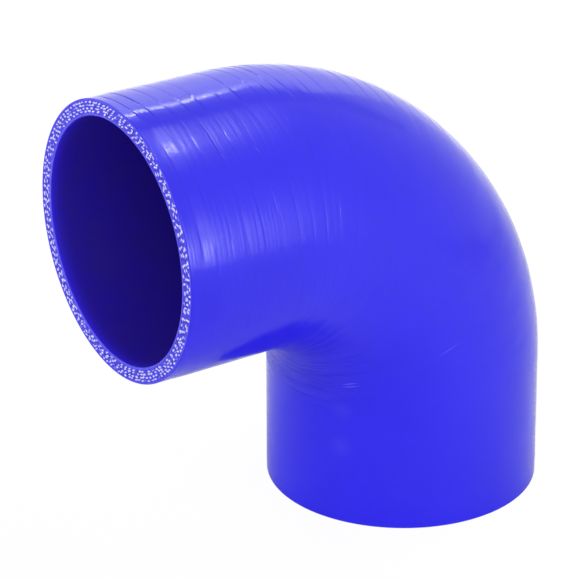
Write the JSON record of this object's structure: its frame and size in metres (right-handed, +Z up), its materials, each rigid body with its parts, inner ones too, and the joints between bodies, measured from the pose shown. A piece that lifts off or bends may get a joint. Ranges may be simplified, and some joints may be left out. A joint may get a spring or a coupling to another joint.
{
  "type": "silicone elbow hose",
  "caption": "Right-angle silicone elbow hose: a short, thick-walled, fabric-reinforced rubber pipe bend that couples pipe ends of equal bore.",
  "frame": {"origin": "middle of the bounding box in plan, at the plane of the lower cut end that the hose stands on", "axes": "+Z up along the lower leg, -X along the upper leg and out of its mouth, +Y across the bend, so that the hose is symmetric about the XZ plane"},
  "size_m": [0.1474, 0.0868, 0.1474],
  "materials": {
    "silicone": "glossy royal blue cover with faint cloth-wrap lines, matt on the cut ends and a little duller in the bore",
    "polyester_yarn": "cut ends of white reinforcing yarn, wetted with silicone"
  },
  "bodies": {
    "root": {"elbow_hose": "silicone"}
  },
  "joints": []
}
